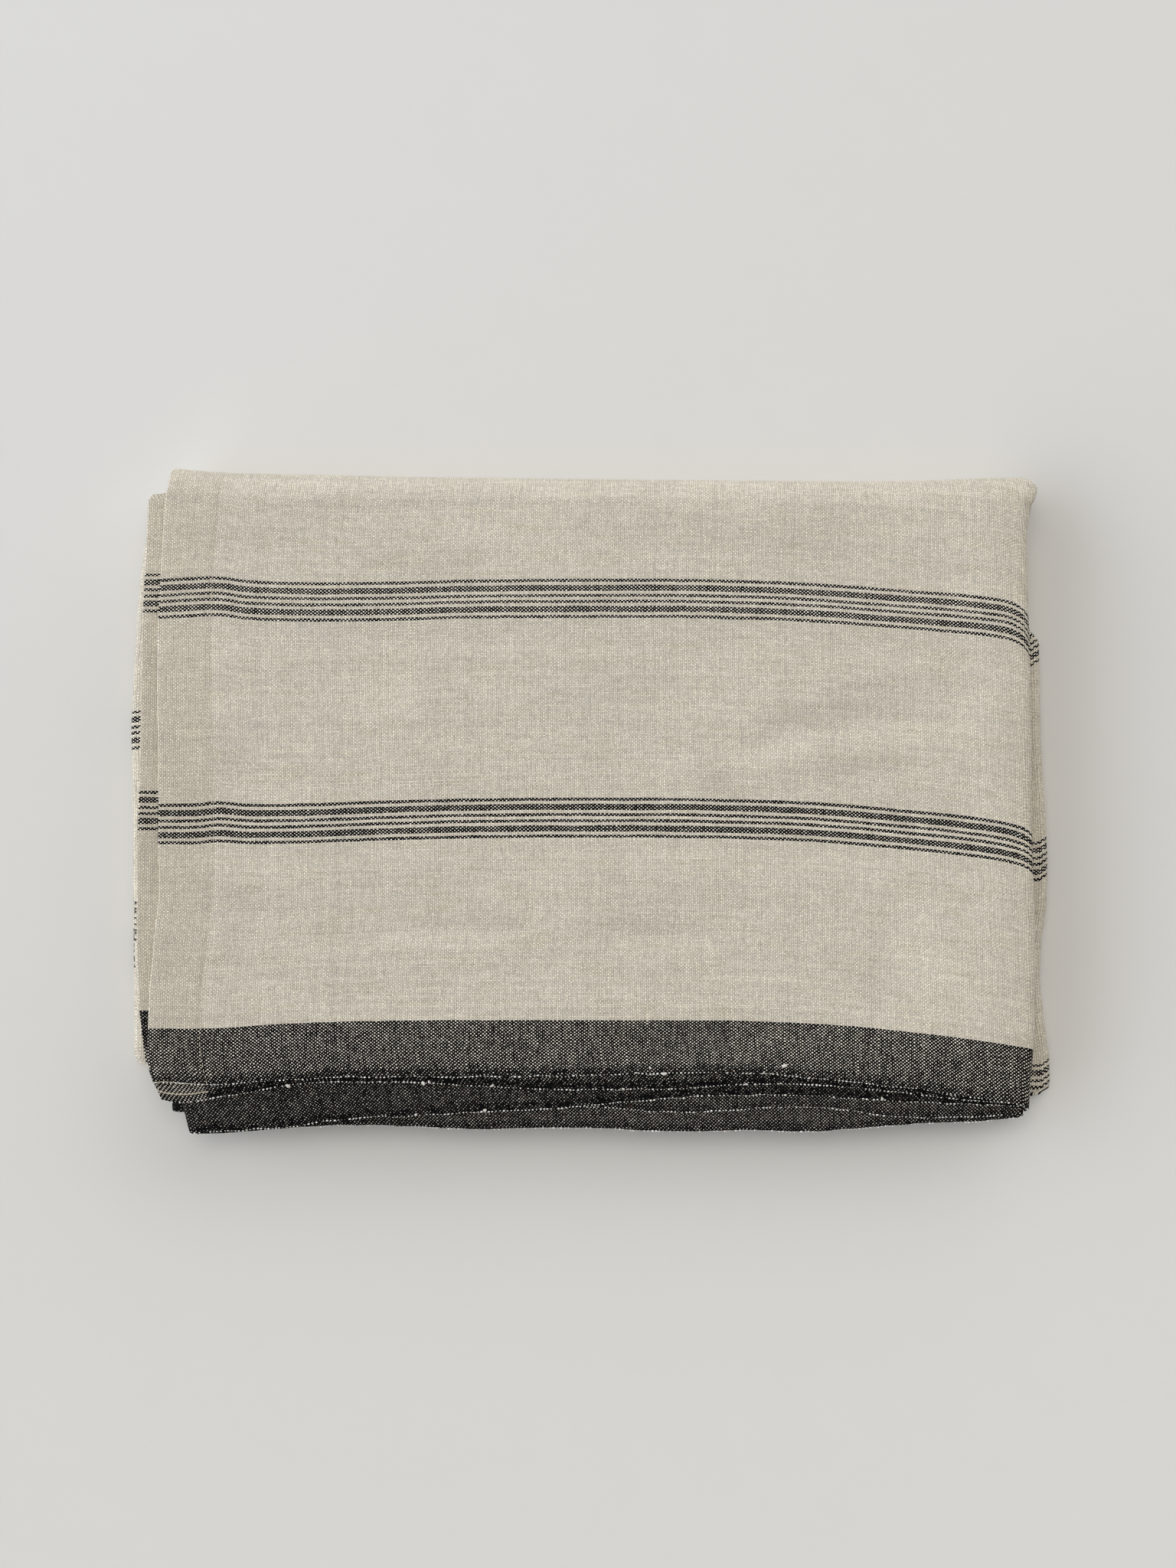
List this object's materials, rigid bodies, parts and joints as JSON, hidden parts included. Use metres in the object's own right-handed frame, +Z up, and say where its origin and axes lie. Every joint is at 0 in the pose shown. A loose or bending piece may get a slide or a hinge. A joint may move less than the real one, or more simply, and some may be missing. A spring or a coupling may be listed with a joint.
{
  "type": "folded linen tablecloth",
  "caption": "Striped linen tablecloth folded into a flat rectangular stack, with a rolled back edge and dark borders at the front.",
  "frame": {"origin": "middle of the flat underside of the folded stack", "axes": "+Z up out of the stack, +X along the cloth's length and the stack's long side, +Y towards the rolled back edge"},
  "size_m": [0.5384, 0.3876, 0.0415],
  "materials": {
    "linen": "natural beige plain-weave linen with near-black stripe groups and dark borders, matt"
  },
  "bodies": {
    "root": {"tablecloth": "linen"}
  },
  "joints": []
}
